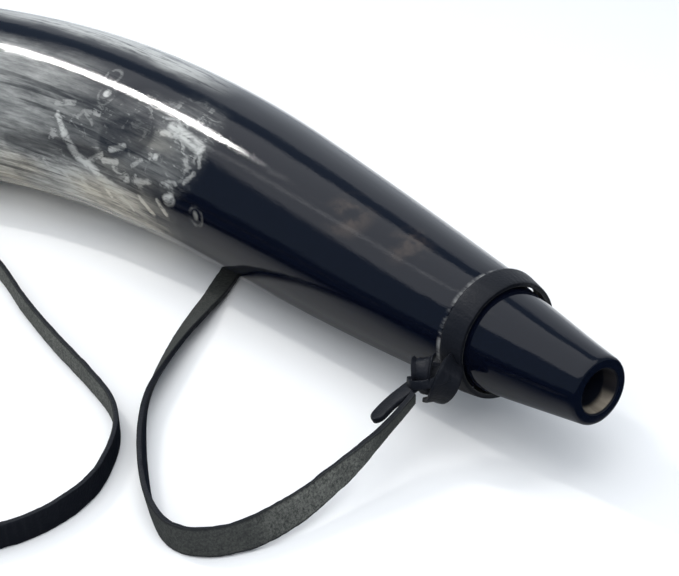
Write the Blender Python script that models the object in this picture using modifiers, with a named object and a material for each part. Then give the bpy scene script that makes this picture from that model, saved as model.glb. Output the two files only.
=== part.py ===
"""Shofar: a polished animal horn with a flat leather lace, lying on its side.

Metres, +Z up. +X runs along the horn towards the mouthpiece, the horn curves round its near side (-Y),
and the origin is under the middle of the horn's own box, on the floor.
A place along the horn is its distance along the centreline from the mouthpiece's rim.
"""

import math

import bmesh
import bpy
import numpy as np
from mathutils import Matrix, Vector

GAP = 0.0003  # between pieces that touch

# Horn, outside
HORN_LENGTH = 0.370  # along the centreline
MOUTHPIECE_LENGTH = 0.0432
MOUTH_RADIUS = 0.0095
MOUTH_ROUNDING = 0.0006
CONE_START = 0.009  # first ring of the straight cone
CONE_RADIUS = 0.0164  # of the mouthpiece, at the shoulder
SHOULDER_RADIUS = 0.0174
SHOULDER_CHAMFER = 0.0005
SHOULDER_STEP = 0.0001  # length of the shoulder's flat face
BELL_RADIUS = 0.0321
FLARE = 2.73  # how early the body reaches the bell's width

# Horn, inside
CUP_RADIUS = 0.0062
CUP_STRAIGHT = 0.002
CUP_DEPTH = 0.009
BORE_RADIUS = 0.004
SOLID_LENGTH = 0.115  # drilled up to here, hollow beyond
HOLLOW_OPENING = 0.150  # over which the hollow widens to the wall
HOLLOW_ROUNDING = 0.8  # lower makes the hollow's end blunter
BELL_WALL = 0.0036

# Centreline: heading and height
MOUTH_HEADING = math.radians(165.757)  # towards the bell, at the mouthpiece's rim
BEND_RATE = math.radians(267.8)  # per metre, where the bend is full
BEND_FULL_AT = 0.270
FLOOR_CLEARANCE = 0.0023  # under the belly, where the lace passes
TIP_LIFT = 0.0139
TIP_LIFT_LENGTH = 0.140
SETTLE_LENGTH = 0.085  # over which the bell comes down to the floor

# Lace
LACE_WIDTH = 0.0074
LACE_THICKNESS = 0.0017
LOOP_CLEARANCE = 0.00035  # inside the turn round the neck
LOOP_FLARE = 0.0004  # its mouthpiece side stands off this much more
TAIL_WIDTH = 0.0056
KNOT_ANGLE = math.radians(-12)  # round the neck, from the near side
KNOT_SIZE = (0.0125, 0.0115, 0.0095)  # along the neck, round it, off it
RIM_HOLE_RADIUS = 0.0032
RIM_HOLE_FROM_RIM = 0.018
RIM_HOLE_ANGLE = math.radians(-20)  # round the bell, from the near side
RIM_PASS_CLEARANCE = 0.0004
RIM_PASS_INSIDE = 0.0012  # how far the lace stands out of the hole, inside the bell
RIM_PASS_OUTSIDE = 0.0015
RIM_KNOT_RADIUS = 0.0055

# Route of the long lace: points with the turn of the lace, 0 on its edge and 90 flat
LACE_ROUTE = (
    (0.1404, -0.0414, 0.0176, 0), (0.1398, -0.0480, 0.0146, 0), (0.1395, -0.0560, 0.0122, 0),
    (0.1390, -0.0655, 0.0099, 0), (0.1380, -0.0760, 0.0078, 0), (0.1362, -0.0880, 0.0059, 0),
    (0.1318, -0.1005, 0.0045, 0), (0.1244, -0.1090, 0.0041, 0), (0.1150, -0.1108, 0.0039, 0),
    (0.1035, -0.1056, 0.0039, 0), (0.0910, -0.0960, 0.0039, 0), (0.0780, -0.0838, 0.0039, 0),
    (0.0670, -0.0712, 0.0039, 0), (0.0590, -0.0580, 0.0039, 0), (0.0510, -0.0420, 0.0037, 8),
    (0.0440, -0.0265, 0.0028, 45), (0.0378, -0.0125, 0.0014, 80), (0.0335, -0.0035, 0.0009, 90),
    (0.0275, 0.0100, 0.0009, 90), (0.0190, 0.0270, 0.0009, 90), (0.0100, 0.0430, 0.0009, 90),
    (0.0020, 0.0545, 0.0020, 55), (-0.0110, 0.0640, 0.0036, 10), (-0.0280, 0.0685, 0.0039, 0),
    (-0.0450, 0.0670, 0.0039, 0), (-0.0620, 0.0600, 0.0036, 10), (-0.0790, 0.0500, 0.0020, 55),
    (-0.0885, 0.0380, 0.0009, 90), (-0.0945, 0.0230, 0.0009, 90), (-0.0975, 0.0070, 0.0009, 90),
    (-0.0960, -0.0080, 0.0009, 90), (-0.0885, -0.0215, 0.0020, 55), (-0.0630, -0.0340, 0.0037, 8),
    (-0.0305, -0.0442, 0.0039, 0), (-0.0050, -0.0552, 0.0039, 0), (0.0200, -0.0646, 0.0039, 0),
    (0.0430, -0.0722, 0.0039, 0), (0.0600, -0.0788, 0.0039, 0), (0.0705, -0.0862, 0.0039, 0),
    (0.0785, -0.0962, 0.0039, 0), (0.0845, -0.1080, 0.0039, 0), (0.0862, -0.1205, 0.0039, 0),
    (0.0835, -0.1340, 0.0039, 0), (0.0750, -0.1470, 0.0039, 0), (0.0600, -0.1550, 0.0039, 0),
    (0.0400, -0.1575, 0.0039, 0), (0.0150, -0.1540, 0.0039, 0), (-0.0150, -0.1445, 0.0039, 0),
    (-0.0480, -0.1300, 0.0039, 0), (-0.0800, -0.1120, 0.0039, 0), (-0.1080, -0.0920, 0.0042, 0),
    (-0.1225, -0.0750, 0.0070, 0), (-0.1300, -0.0610, 0.0117, 0), (-0.1344, -0.0500, 0.0168, 0),
    (-0.1377, -0.0404, 0.0213, 0),
)
# Each stretch of it, with the places in the route where it starts and ends
LACE_STRETCHES = (
    ("lace_front", 0, 17), ("lace_under_front", 17, 20), ("lace_back", 20, 27),
    ("lace_under_rear", 27, 30), ("lace_side", 30, 54),
)
TAIL_ROUTE = (
    (0.1382, -0.0420, 0.0190, 0), (0.1365, -0.0470, 0.0168, 0), (0.1358, -0.0530, 0.0145, 0),
)

RING_SIDES = 28
BORE_SIDES = 16
LACE_STEP = 0.013
KNOT_TO_KNOT = 24  # steps of a smoothed route between two of its points
NECK_STEPS = 40
PASS_SIDES = 14
SQUARE_END = 0.001  # between an end and the point before it, which keeps the end square

HORN = ("horn", (0.012, 0.013, 0.018, 1), 0.12)
LEATHER = ("leather", (0.018, 0.018, 0.019, 1), 0.55)


def body_radius(s):
    """Outer radius of the horn's body, whose taper runs on inside the mouthpiece."""
    along = np.minimum((s - MOUTHPIECE_LENGTH) / (HORN_LENGTH - MOUTHPIECE_LENGTH), 1)
    return BELL_RADIUS - (BELL_RADIUS - SHOULDER_RADIUS) * (1 - along) ** FLARE


def heading(s):
    bend = np.where(s < BEND_FULL_AT, s**3 / (3 * BEND_FULL_AT**2), s - BEND_FULL_AT * 2 / 3)
    return MOUTH_HEADING + BEND_RATE * bend


def height(s):
    """Height of the centreline over the floor."""
    tip = TIP_LIFT * np.clip(1 - s / TIP_LIFT_LENGTH, 0, None) ** 2
    settling = np.clip((s - HORN_LENGTH + SETTLE_LENGTH) / SETTLE_LENGTH, 0, 1)
    return body_radius(s) + tip + FLOOR_CLEARANCE * (1 - settling**2)


def centreline():
    """Stations each half millimetre, with their points and unit tangents."""
    stations = np.arange(0, HORN_LENGTH + 0.0004, 0.0005)
    rise = np.gradient(height(stations), stations)
    level = np.sqrt(1 - rise**2)
    tangents = np.stack(
        [np.cos(heading(stations)) * level, np.sin(heading(stations)) * level, rise], axis=1
    )
    steps = (tangents[1:] + tangents[:-1]) / 2 * np.diff(stations)[:, None]
    points = np.concatenate([np.zeros((1, 3)), np.cumsum(steps, axis=0)])
    points[:, 2] = height(stations)
    return stations, points, tangents


def outer_radius(s):
    cone = MOUTH_RADIUS + (CONE_RADIUS - MOUTH_RADIUS) * s / MOUTHPIECE_LENGTH
    return np.where(s < MOUTHPIECE_LENGTH, cone, body_radius(s))


STATIONS, POINTS, TANGENTS = centreline()
REACH = outer_radius(STATIONS)[:, None] * np.sqrt(1 - TANGENTS**2)
LOW, HIGH = (POINTS - REACH).min(axis=0), (POINTS + REACH).max(axis=0)
POINTS = POINTS - [(LOW[0] + HIGH[0]) / 2, (LOW[1] + HIGH[1]) / 2, LOW[2]]


def horn_at(s):
    """Point and tangent of the centreline, which runs on straight beyond both ends."""
    inside = min(max(s, 0.0), HORN_LENGTH)
    point = Vector([np.interp(inside, STATIONS, POINTS[:, k]) for k in range(3)])
    tangent = Vector([np.interp(inside, STATIONS, TANGENTS[:, k]) for k in range(3)]).normalized()
    return point + tangent * (s - inside), tangent


def frame_at(s, angle=0.0):
    """Matrix with its origin on the centreline, Z towards the bell and X off the horn at angle, which
    is measured from the near side, upwards."""
    point, tangent = horn_at(s)
    near = Vector((0, 0, 1)).cross(tangent).normalized()
    off = near * math.cos(angle) + tangent.cross(near) * math.sin(angle)
    axes = Matrix((off, tangent.cross(off), tangent)).transposed()
    return Matrix.Translation(point) @ axes.to_4x4()


def material(name, color, roughness):
    made = bpy.data.materials.get(name) or bpy.data.materials.new(name)
    made.use_nodes = True
    shader = made.node_tree.nodes["Principled BSDF"]
    shader.inputs["Base Color"].default_value = color
    shader.inputs["Roughness"].default_value = roughness
    return made


def smooth_route(route):
    """Points and turns close together along a Catmull-Rom curve through the route."""
    knots = np.array(route, float)
    knots = np.concatenate([2 * knots[:1] - knots[1:2], knots, 2 * knots[-1:] - knots[-2:-1]])
    t = (np.arange(KNOT_TO_KNOT) / KNOT_TO_KNOT)[:, None]
    out = []
    for a, b, c, d in zip(knots[:-3], knots[1:-2], knots[2:-1], knots[3:]):
        bend = (2 * a - 5 * b + 4 * c - d) * t**2 + (3 * b - a - 3 * c + d) * t**3
        out.append(0.5 * (2 * b + (c - a) * t + bend))
    return np.concatenate(out + [knots[-2:-1]])


def lace(name, path, parts, width=LACE_WIDTH):
    """A flat strip along a close-set path, as a curve whose ends are square to the path."""
    lengths = np.linalg.norm(np.diff(path[:, :3], axis=0), axis=1)
    along = np.concatenate([[0], np.cumsum(lengths)])
    first, last = GAP / 2, along[-1] - GAP / 2
    count = max(2, math.ceil((last - first) / LACE_STEP))
    places = np.concatenate([[first], np.linspace(first + SQUARE_END, last - SQUARE_END, count), [last]])
    rows = np.stack([np.interp(places, along, path[:, k]) for k in range(4)], axis=1)
    data = bpy.data.curves.new(name, "CURVE")
    data.dimensions = "3D"
    data.twist_mode = "Z_UP"
    data.fill_mode = "FULL"
    data.use_fill_caps = True
    data.bevel_depth = LACE_THICKNESS / 2
    data.extrude = (width - LACE_THICKNESS) / 2
    data.bevel_resolution = 1
    spline = data.splines.new("POLY")
    spline.points.add(len(rows) - 1)
    for point, (x, y, z, turn) in zip(spline.points, rows):
        point.co = (x, y, z, 1)
        point.tilt = math.radians(turn)
    made = bpy.data.objects.new(name, data)
    made.data.materials.append(material(*LEATHER))
    parts.objects.link(made)
    return made


def long_lace(parts):
    """The long lace, split into its stretches."""
    path = smooth_route(LACE_ROUTE)
    for name, start, end in LACE_STRETCHES:
        lace(name, path[start * KNOT_TO_KNOT : end * KNOT_TO_KNOT + 1], parts)


def tube_mesh(name, stations, radii, sides):
    """A closed round tube along the horn's centreline with a radius at each station, as a mesh."""
    data = bpy.data.curves.new(name, "CURVE")
    data.dimensions = "3D"
    data.use_fill_caps = True
    data.bevel_depth = 1
    data.bevel_resolution = (sides - 4) // 2
    spline = data.splines.new("POLY")
    spline.points.add(len(stations) - 1)
    for point, s, radius in zip(spline.points, stations, radii):
        point.co = (*horn_at(s)[0], 1)
        point.radius = radius
    guide = bpy.data.objects.new(name, data)
    bpy.context.scene.collection.objects.link(guide)
    bpy.context.view_layer.update()
    graph = bpy.context.evaluated_depsgraph_get()
    mesh = bpy.data.meshes.new_from_object(guide.evaluated_get(graph))
    mesh.transform(guide.matrix_world)
    bpy.data.objects.remove(guide)
    shape = bmesh.new()
    shape.from_mesh(mesh)
    bmesh.ops.remove_doubles(shape, verts=shape.verts, dist=1e-6)
    bmesh.ops.recalc_face_normals(shape, faces=shape.faces)
    shape.to_mesh(mesh)
    shape.free()
    mesh.name = name
    return mesh


def add_mesh(name, mesh, collection, finish):
    made = bpy.data.objects.new(name, mesh)
    mesh.materials.clear()
    mesh.materials.append(material(*finish))
    mesh.shade_smooth()
    mesh.set_sharp_from_angle(angle=math.radians(35))
    collection.objects.link(made)
    return made


def cut(target, cutter):
    modifier = target.modifiers.new(cutter.name, "BOOLEAN")
    modifier.operation = "DIFFERENCE"
    modifier.solver = "EXACT"
    modifier.object = cutter
    cutter.hide_render = True
    cutter.display_type = "WIRE"


def horn_body(parts, cutters):
    """The horn: mouthpiece cone, shoulder and body in one piece, bored through, with the rim hole."""
    round_over = [(0.0, MOUTH_RADIUS - MOUTH_ROUNDING), (MOUTH_ROUNDING, None)]
    cone = [(s, None) for s in np.linspace(CONE_START, MOUTHPIECE_LENGTH * 0.95, 4)]
    step_end = MOUTHPIECE_LENGTH + SHOULDER_STEP
    step = [
        (MOUTHPIECE_LENGTH, CONE_RADIUS),
        (step_end, SHOULDER_RADIUS - SHOULDER_CHAMFER),
        (step_end + SHOULDER_CHAMFER, None),
    ]
    body = [(s, None) for s in np.linspace(MOUTHPIECE_LENGTH * 1.2, HORN_LENGTH - SQUARE_END, 32)]
    rings = round_over + cone + step + body + [(HORN_LENGTH, None)]
    stations = [s for s, _ in rings]
    radii = [float(outer_radius(s)) if radius is None else radius for s, radius in rings]
    horn = add_mesh("horn_body", tube_mesh("horn_body", stations, radii, RING_SIDES), parts, HORN)

    bore = [(-CUP_STRAIGHT, CUP_RADIUS), (CUP_STRAIGHT, CUP_RADIUS)]
    bore += [(CUP_DEPTH * 0.7, CUP_RADIUS * 0.85), (CUP_DEPTH, BORE_RADIUS)]
    bore += [(s, BORE_RADIUS) for s in np.linspace(SOLID_LENGTH / 4, SOLID_LENGTH, 5)]
    for s in np.linspace(SOLID_LENGTH, HORN_LENGTH + BELL_WALL, 18)[1:]:
        share = math.sin(min((s - SOLID_LENGTH) / HOLLOW_OPENING, 1) * math.pi / 2)
        widest = float(body_radius(min(s, HORN_LENGTH))) - BELL_WALL
        bore.append((s, BORE_RADIUS + (widest - BORE_RADIUS) * share**HOLLOW_ROUNDING))
    hollow = tube_mesh("bore", [s for s, _ in bore], [radius for _, radius in bore], BORE_SIDES)
    cut(horn, add_mesh("bore", hollow, cutters, HORN))

    hole = bmesh.new()
    bmesh.ops.create_cone(
        hole, cap_ends=True, segments=BORE_SIDES, depth=BELL_RADIUS, radius1=RIM_HOLE_RADIUS,
        radius2=RIM_HOLE_RADIUS,
        matrix=rim_hole_frame() @ Matrix.Translation((0, 0, float(rim_hole_wall()))),
    )
    mesh = bpy.data.meshes.new("rim_hole")
    hole.to_mesh(mesh)
    hole.free()
    cut(horn, add_mesh("rim_hole", mesh, cutters, HORN))


def rim_hole_wall():
    """Distance from the centreline to the outer face at the rim hole."""
    return body_radius(HORN_LENGTH - RIM_HOLE_FROM_RIM)


def rim_hole_frame():
    """Matrix on the centreline at the rim hole, with Z out through the hole."""
    frame = frame_at(HORN_LENGTH - RIM_HOLE_FROM_RIM, RIM_HOLE_ANGLE)
    return frame @ Matrix.Rotation(math.radians(90), 4, "Y")


def neck_loop(parts):
    """The turn of lace in the step behind the mouthpiece, flat side to the horn."""
    back = MOUTHPIECE_LENGTH - GAP
    front = back - LACE_WIDTH
    middle = (front + back) / 2
    inner_back = float(outer_radius(back)) + LOOP_CLEARANCE
    inner_front = inner_back - LOOP_CLEARANCE + LOOP_FLARE
    profile = [
        (inner_back + LACE_THICKNESS, back - middle),
        (inner_front + LACE_THICKNESS, front - middle),
        (inner_front, front - middle),
        (inner_back, back - middle),
    ]
    shape = bmesh.new()
    corners = [shape.verts.new((radius, 0, along)) for radius, along in profile]
    for a, b in zip(corners, corners[1:] + corners[:1]):
        shape.edges.new((b, a))
    mesh = bpy.data.meshes.new("neck_loop")
    shape.to_mesh(mesh)
    shape.free()
    loop = add_mesh("neck_loop", mesh, parts, LEATHER)
    loop.matrix_world = frame_at(middle)
    turn = loop.modifiers.new("turn", "SCREW")
    turn.steps = turn.render_steps = NECK_STEPS
    turn.use_merge_vertices = True
    turn.merge_threshold = 1e-5
    turn.use_normal_flip = True
    return middle, inner_back + LACE_THICKNESS


def lump(name, size, frame, parts):
    """A rounded lump of knotted lace."""
    shape = bmesh.new()
    bmesh.ops.create_icosphere(shape, subdivisions=2, radius=0.5)
    bmesh.ops.scale(shape, vec=size, verts=shape.verts)
    mesh = bpy.data.meshes.new(name)
    shape.to_mesh(mesh)
    shape.free()
    made = add_mesh(name, mesh, parts, LEATHER)
    made.matrix_world = frame
    return made


def rim_knot(parts):
    """The stretch of lace through the rim hole, and the knot inside the bell that holds it there."""
    wall = float(rim_hole_wall())
    inside = wall - BELL_WALL - RIM_PASS_INSIDE
    outside = wall + RIM_PASS_OUTSIDE
    frame = rim_hole_frame()
    shape = bmesh.new()
    bmesh.ops.create_cone(
        shape, cap_ends=True, segments=PASS_SIDES, depth=outside - inside,
        radius1=RIM_HOLE_RADIUS - RIM_PASS_CLEARANCE, radius2=RIM_HOLE_RADIUS - RIM_PASS_CLEARANCE,
    )
    mesh = bpy.data.meshes.new("rim_pass")
    shape.to_mesh(mesh)
    shape.free()
    made = add_mesh("rim_pass", mesh, parts, LEATHER)
    made.matrix_world = frame @ Matrix.Translation((0, 0, (inside + outside) / 2))
    size = (2 * RIM_KNOT_RADIUS,) * 3
    lump("rim_knot", size, frame @ Matrix.Translation((0, 0, inside - GAP - RIM_KNOT_RADIUS)), parts)


def main():
    for old in list(bpy.data.objects):
        bpy.data.objects.remove(old)
    parts = bpy.data.collections.new("shofar")
    cutters = bpy.data.collections.new("cutters")
    for collection in (parts, cutters):
        bpy.context.scene.collection.children.link(collection)

    horn_body(parts, cutters)
    middle, loop_radius = neck_loop(parts)
    along, around, off = KNOT_SIZE
    knot_frame = frame_at(middle, KNOT_ANGLE)
    knot_frame = knot_frame @ Matrix.Translation((loop_radius + GAP + off / 2, 0, 0))
    lump("neck_knot", (off, around, along), knot_frame, parts)

    long_lace(parts)
    lace("lace_tail", smooth_route(TAIL_ROUTE), parts, TAIL_WIDTH)
    rim_knot(parts)


main()
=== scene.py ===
"""Shofar: the looks of a polished black horn and its flat leather lace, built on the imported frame.

Metres, +Z up. A place along the horn is its distance along the centreline from the mouthpiece's rim,
and a place round it is an angle from the near side, upwards.
"""

import math

import bmesh
import bpy
import numpy as np
from mathutils import Matrix, Vector, noise


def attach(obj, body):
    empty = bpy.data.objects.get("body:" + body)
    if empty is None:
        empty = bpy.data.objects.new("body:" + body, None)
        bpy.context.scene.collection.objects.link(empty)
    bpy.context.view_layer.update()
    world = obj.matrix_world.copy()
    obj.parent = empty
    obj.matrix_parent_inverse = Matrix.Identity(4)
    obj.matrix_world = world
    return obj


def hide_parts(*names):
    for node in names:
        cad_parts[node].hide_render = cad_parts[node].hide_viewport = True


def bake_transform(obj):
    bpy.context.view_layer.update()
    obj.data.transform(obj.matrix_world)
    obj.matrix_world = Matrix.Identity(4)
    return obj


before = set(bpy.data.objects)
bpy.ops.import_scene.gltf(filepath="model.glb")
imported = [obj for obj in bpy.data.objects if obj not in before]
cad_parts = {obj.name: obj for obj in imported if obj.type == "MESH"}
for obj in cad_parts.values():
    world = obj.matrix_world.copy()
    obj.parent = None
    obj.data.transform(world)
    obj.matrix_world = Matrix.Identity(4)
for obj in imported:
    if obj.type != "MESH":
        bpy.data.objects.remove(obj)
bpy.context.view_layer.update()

bl_info = {
    "name": "Shofar",
    "version": (1, 0, 0),
    "blender": (4, 5, 0),
    "location": "View3D > Sidebar > Shofar",
    "description": "Builds a polished black shofar with a flat leather lace",
    "category": "Object",
}

# Horn, the same sizes as its solid
HORN_LENGTH = 0.370
MOUTHPIECE_LENGTH = 0.0432
MOUTH_RADIUS = 0.0095
MOUTH_ROUNDING = 0.0010
CONE_RADIUS = 0.0164
SHOULDER_RADIUS = 0.0174
SHOULDER_CHAMFER = 0.0005
BELL_RADIUS = 0.0321
FLARE = 2.73
CUP_RADIUS = 0.0062
CUP_DEPTH = 0.009
BORE_RADIUS = 0.004
SOLID_LENGTH = 0.115
HOLLOW_OPENING = 0.150
HOLLOW_ROUNDING = 0.8
BELL_WALL = 0.0036
MOUTH_HEADING = math.radians(165.757)
BEND_RATE = math.radians(267.8)
BEND_FULL_AT = 0.270
FLOOR_CLEARANCE = 0.0023
TIP_LIFT = 0.0139
TIP_LIFT_LENGTH = 0.140
SETTLE_LENGTH = 0.085
RIM_HOLE_RADIUS = 0.0032
RIM_HOLE_FROM_RIM = 0.018
RIM_HOLE_ANGLE = math.radians(-20)
RIM_PASS_INSIDE = 0.0012
RIM_KNOT_RADIUS = 0.0055
RIM_LACE_WIDTH, RIM_LACE_THICKNESS = 0.0050, 0.0026  # folded in the hole
RIM_LACE_ENDS = (0.0022, 0.0014)  # how far it stands out of the wall, inside and outside
HORN_SIDES = 128

# Route of the long lace: points, and the roll of its suede side, 0 to the left of its way and 90 up
LACE_ROUTE = (
    (0.1404, -0.0414, 0.0176, -22), (0.1398, -0.0480, 0.0146, -20), (0.1395, -0.0560, 0.0122, -14),
    (0.1390, -0.0655, 0.0099, 0), (0.1380, -0.0760, 0.0078, 16), (0.1362, -0.0880, 0.0059, 24),
    (0.1318, -0.1005, 0.0045, 16), (0.1244, -0.1090, 0.0041, 10), (0.1150, -0.1108, 0.0039, 2),
    (0.1035, -0.1056, 0.0039, -8), (0.0910, -0.0960, 0.0039, -10), (0.0780, -0.0838, 0.0039, -4),
    (0.0670, -0.0712, 0.0039, 12), (0.0590, -0.0580, 0.0039, 34), (0.0510, -0.0420, 0.0037, 52),
    (0.0440, -0.0265, 0.0028, 68), (0.0378, -0.0125, 0.0014, 82), (0.0335, -0.0035, 0.0009, 90),
    (0.0275, 0.0100, 0.0009, 90), (0.0190, 0.0270, 0.0009, 90), (0.0100, 0.0430, 0.0009, 90),
    (0.0020, 0.0545, 0.0020, 55), (-0.0110, 0.0640, 0.0036, 10), (-0.0280, 0.0685, 0.0039, 0),
    (-0.0450, 0.0670, 0.0039, 0), (-0.0620, 0.0600, 0.0036, 10), (-0.0790, 0.0500, 0.0020, 55),
    (-0.0885, 0.0380, 0.0009, 90), (-0.0945, 0.0230, 0.0009, 90), (-0.0975, 0.0070, 0.0009, 90),
    (-0.0960, -0.0080, 0.0009, 90), (-0.0885, -0.0215, 0.0020, 125), (-0.0630, -0.0340, 0.0037, 172),
    (-0.0305, -0.0442, 0.0039, 180), (-0.0050, -0.0552, 0.0039, 180), (0.0200, -0.0646, 0.0039, 180),
    (0.0430, -0.0722, 0.0039, 180), (0.0600, -0.0788, 0.0039, 180), (0.0705, -0.0862, 0.0039, 180),
    (0.0785, -0.0962, 0.0039, 180), (0.0845, -0.1080, 0.0039, 180), (0.0862, -0.1205, 0.0039, 180),
    (0.0835, -0.1340, 0.0039, 180), (0.0750, -0.1470, 0.0039, 180), (0.0600, -0.1550, 0.0039, 180),
    (0.0400, -0.1575, 0.0039, 180), (0.0150, -0.1540, 0.0039, 180), (-0.0150, -0.1445, 0.0039, 180),
    (-0.0480, -0.1300, 0.0039, 180), (-0.0800, -0.1120, 0.0039, 180), (-0.1080, -0.0920, 0.0042, 180),
    (-0.1225, -0.0750, 0.0070, 180), (-0.1300, -0.0610, 0.0117, 180), (-0.1344, -0.0500, 0.0168, 180),
    (-0.1377, -0.0404, 0.0213, 180),
)
LACE_STEP = 0.0012
# The lace follows the horn before the first place and the neck turn after the second
# How much wider the lace is round a place along it, as a share: share, place, reach
LACE_WIDENINGS = ((0.13, 0.056, 0.016), (-0.10, 0.004, 0.010))
LOWEST_LACE = 0.00015  # over the floor
STRIP_SQUARENESS = 0.30  # of a strip's section, lower is squarer
LACE_RAGGED = 0.00021  # of the long lace's cut edges

# The solid's three points, after one inside the knot
TAIL_ROUTE = (
    (0.1392, -0.0388, 0.0202), (0.1382, -0.0420, 0.0190), (0.1365, -0.0470, 0.0168),
    (0.1358, -0.0530, 0.0145),
)

# Clearances of the neck band and its knot, the same as their solids
GAP = 0.0003
LOOP_CLEARANCE = 0.00035
KNOT_ANGLE = math.radians(-12)
KNOT_DEPTH = 0.0095  # off the neck

# The neck band's middle: back from the shoulder, off the horn, and how much it stands open behind
BAND_FROM_SHOULDER = 0.0040
BAND_OFF_HORN = 0.00125
BAND_OPENING = 0.0004

# Camera
CAMERA_PLACE = Vector((0.3433, -0.31235, 0.2395))
LOOKS_AT = Vector((0.0656, 0.0184, 0.0))
CAMERA_LENS = 79.53
CAMERA_ROLL = math.radians(-1.95)

# Stage
FLOOR_REACH = 1.1
FLOOR_FADE = (0.95, 0.42)  # shares of its reach where the floor is gone and where it is whole
BACKDROP_RADIUS = 5.0
# Cards on the floor that only the gloss sees, a painted reflection of the floor in shade near the horn and
# of dark surroundings further out: left, right, front and back
GLOSS_CARDS = (("card_front", (-1.2, 0.205, -1.2, -0.005)), ("card_side", (0.205, 0.9, -1.2, 0.5)))
CARD_HEIGHT = 0.0001
KEY_TARGET = Vector((0, 0, 0.03))
KEY_WAY = Vector((-0.627, -0.055, 0.777))
KEY_DISTANCE = 0.8
WORLD_COLOR = (0.58, 0.76, 1.0, 1)
WORLD_STRENGTH = 0.30


# ---------------------------------------------------------------- the horn's lines


def body_radius(s):
    """Outer radius of the horn's body, whose taper runs on inside the mouthpiece."""
    along = np.minimum((s - MOUTHPIECE_LENGTH) / (HORN_LENGTH - MOUTHPIECE_LENGTH), 1)
    return BELL_RADIUS - (BELL_RADIUS - SHOULDER_RADIUS) * (1 - along) ** FLARE


def heading(s):
    bend = np.where(s < BEND_FULL_AT, s**3 / (3 * BEND_FULL_AT**2), s - BEND_FULL_AT * 2 / 3)
    return MOUTH_HEADING + BEND_RATE * bend


def height(s):
    """Height of the centreline over the floor."""
    tip = TIP_LIFT * np.clip(1 - s / TIP_LIFT_LENGTH, 0, None) ** 2
    settling = np.clip((s - HORN_LENGTH + SETTLE_LENGTH) / SETTLE_LENGTH, 0, 1)
    return body_radius(s) + tip + FLOOR_CLEARANCE * (1 - settling**2)


def outer_radius(s):
    cone = MOUTH_RADIUS + (CONE_RADIUS - MOUTH_RADIUS) * s / MOUTHPIECE_LENGTH
    return np.where(s < MOUTHPIECE_LENGTH, cone, body_radius(s))


def centreline():
    """Stations each half millimetre, with their points and unit tangents."""
    stations = np.arange(0, HORN_LENGTH + 0.0004, 0.0005)
    rise = np.gradient(height(stations), stations)
    level = np.sqrt(1 - rise**2)
    tangents = np.stack(
        [np.cos(heading(stations)) * level, np.sin(heading(stations)) * level, rise], axis=1
    )
    steps = (tangents[1:] + tangents[:-1]) / 2 * np.diff(stations)[:, None]
    points = np.concatenate([np.zeros((1, 3)), np.cumsum(steps, axis=0)])
    points[:, 2] = height(stations)
    reach = outer_radius(stations)[:, None] * np.sqrt(1 - tangents**2)
    low, high = (points - reach).min(axis=0), (points + reach).max(axis=0)
    points = points - [(low[0] + high[0]) / 2, (low[1] + high[1]) / 2, low[2]]
    return stations, points, tangents


STATIONS, POINTS, TANGENTS = centreline()


def horn_frame(s, angle=0.0):
    """Matrix on the centreline, with Z towards the bell and X off the horn at an angle."""
    inside = min(max(s, 0.0), HORN_LENGTH)
    point = Vector([np.interp(inside, STATIONS, POINTS[:, k]) for k in range(3)])
    tangent = Vector([np.interp(inside, STATIONS, TANGENTS[:, k]) for k in range(3)]).normalized()
    near = Vector((0, 0, 1)).cross(tangent).normalized()
    off = near * math.cos(angle) + tangent.cross(near) * math.sin(angle)
    axes = Matrix((off, tangent.cross(off), tangent)).transposed()
    return Matrix.Translation(point + tangent * (s - inside)) @ axes.to_4x4()


def camera_matrix():
    turn = (LOOKS_AT - CAMERA_PLACE).to_track_quat("-Z", "Y").to_matrix().to_4x4()
    return Matrix.Translation(CAMERA_PLACE) @ turn @ Matrix.Rotation(CAMERA_ROLL, 4, "Z")


def knot_middle():
    back = MOUTHPIECE_LENGTH - GAP
    band = float(outer_radius(back)) + LOOP_CLEARANCE + lace_sizes().thickness
    place = horn_frame(back - lace_sizes().width / 2, KNOT_ANGLE)
    return place @ Vector((band + GAP + KNOT_DEPTH / 2, 0, 0))


# The knot's own axes: across, up and out towards the camera
KNOT_AXES = camera_matrix().to_3x3()


# ---------------------------------------------------------------- mesh helpers


def smooth_rows(rows, per_stretch=16):
    """Rows close together along a Catmull-Rom curve through the rows given."""
    knots = np.array(rows, float)
    knots = np.concatenate([2 * knots[:1] - knots[1:2], knots, 2 * knots[-1:] - knots[-2:-1]])
    t = (np.arange(per_stretch) / per_stretch)[:, None]
    out = []
    for a, b, c, d in zip(knots[:-3], knots[1:-2], knots[2:-1], knots[3:]):
        bend = (2 * a - 5 * b + 4 * c - d) * t**2 + (3 * b - a - 3 * c + d) * t**3
        out.append(0.5 * (2 * b + (c - a) * t + bend))
    return np.concatenate(out + [knots[-2:-1]])


def distances(rows):
    """How far along their curve the rows are."""
    lengths = np.linalg.norm(np.diff(rows[:, :3], axis=0), axis=1)
    return np.concatenate([[0], np.cumsum(lengths)])


def even_rows(rows, step):
    """The same curve as rows, evenly spaced, with the distance along it of each."""
    along = distances(rows)
    places = np.linspace(0, along[-1], max(4, round(along[-1] / step)))
    return np.stack([np.interp(places, along, column) for column in rows.T], axis=1), places


def new_edges(edges, verts):
    chosen = set(verts)
    return [edge for edge in edges if edge.verts[0] in chosen and edge.verts[1] in chosen]


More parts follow.
